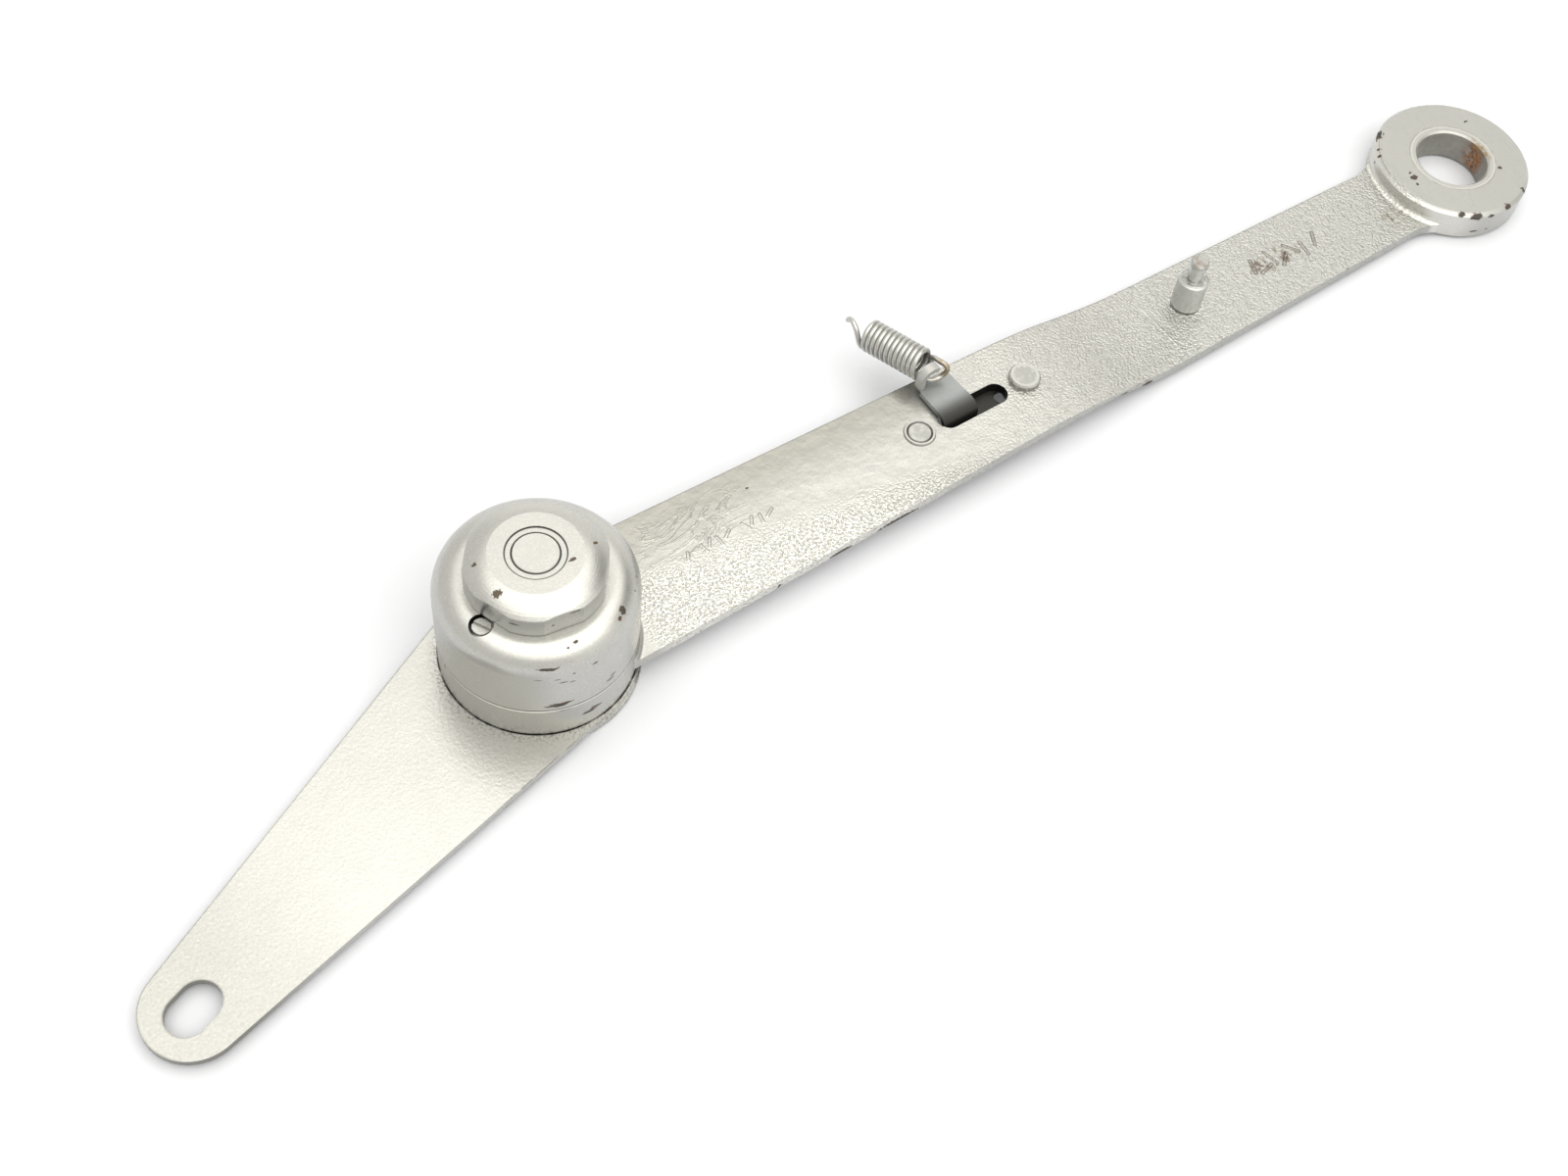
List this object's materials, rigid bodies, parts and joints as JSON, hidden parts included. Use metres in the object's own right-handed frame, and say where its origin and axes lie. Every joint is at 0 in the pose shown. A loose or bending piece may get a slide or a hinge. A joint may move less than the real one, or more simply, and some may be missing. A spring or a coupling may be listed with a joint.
{
  "type": "sprung pivot linkage",
  "caption": "Silver-painted two-arm lever linkage: forged long arm with bored eye and stud, tapered lever, cup-shaped sprung pivot housing with hex cap, riveted slide with hook tab and spring.",
  "frame": {"origin": "pivot axis, in the plane the linkage rests on (underside of the base disc)", "axes": "+X runs along the long arm from the pivot to the middle of the eye, +Z is the pivot axis pointing up through the cap"},
  "size_m": [0.3964, 0.0773, 0.039],
  "materials": {
    "silver_paint": "semi-gloss silver paint with fine orange peel",
    "bush_steel": "worn bare steel, rusty in places",
    "stud_steel": "dull zinc-grey steel",
    "tab_steel": "smooth blue-grey steel",
    "spring_steel": "dark oiled spring steel",
    "bearing_bronze": "sintered bronze",
    "seal_rubber": "matt black"
  },
  "bodies": {
    "arm": {"long_arm": "silver_paint", "eye_bush": "bush_steel", "stepped_stud": "stud_steel", "pivot_bush": "bearing_bronze", "cup_dowels": "spring_steel", "housing_cup": "silver_paint", "friction_disc": "bearing_bronze", "guide_rivet_flush": "silver_paint", "guide_rivet_raised": "silver_paint", "slide_washers": "tab_steel"},
    "lever": {"tapered_lever": "silver_paint", "base_disc": "silver_paint", "lever_rivets": "silver_paint", "spindle": "silver_paint", "thrust_washer": "bearing_bronze", "dust_seal": "seal_rubber", "drive_plate": "spring_steel", "disc_springs": "spring_steel", "spindle_clip": "spring_steel"},
    "adjuster": {"adjuster_cap": "silver_paint", "cap_bush": "silver_paint", "anchor_plate": "spring_steel", "anchor_clip": "spring_steel", "torsion_spring": "spring_steel"},
    "screw": {"lock_screw": "silver_paint"},
    "slide": {"slide_plate": "tab_steel"},
    "spring": {"return_spring": "silver_paint"}
  },
  "joints": [
    {"name": "lever_swing", "type": "hinge", "parent": "arm", "child": "lever", "pos_m": [0, 0, 0.0084], "axis": [0, 0, 1], "range_deg": [-95, 95], "stiffness_Nm_per_rad": 0.4},
    {"name": "adjuster_turn", "type": "hinge", "parent": "arm", "child": "adjuster", "pos_m": [0, 0, 0.0316], "axis": [0, 0, 1], "range_deg": [-30, 30]},
    {"name": "lock_screw_turn", "type": "hinge", "parent": "arm", "child": "screw", "pos_m": [-0.01522, -0.0046, 0.0308], "axis": [0, 0, 1], "continuous": true},
    {"name": "slide_travel", "type": "slide", "parent": "arm", "child": "slide", "axis": [1, 0, 0], "range_m": [0, 0.006]},
    {"name": "spring_swing", "type": "hinge", "parent": "slide", "child": "spring", "pos_m": [0.109, 0.01, 0.0136], "axis": [1, 0, 0], "range_deg": [-3, 70]}
  ]
}
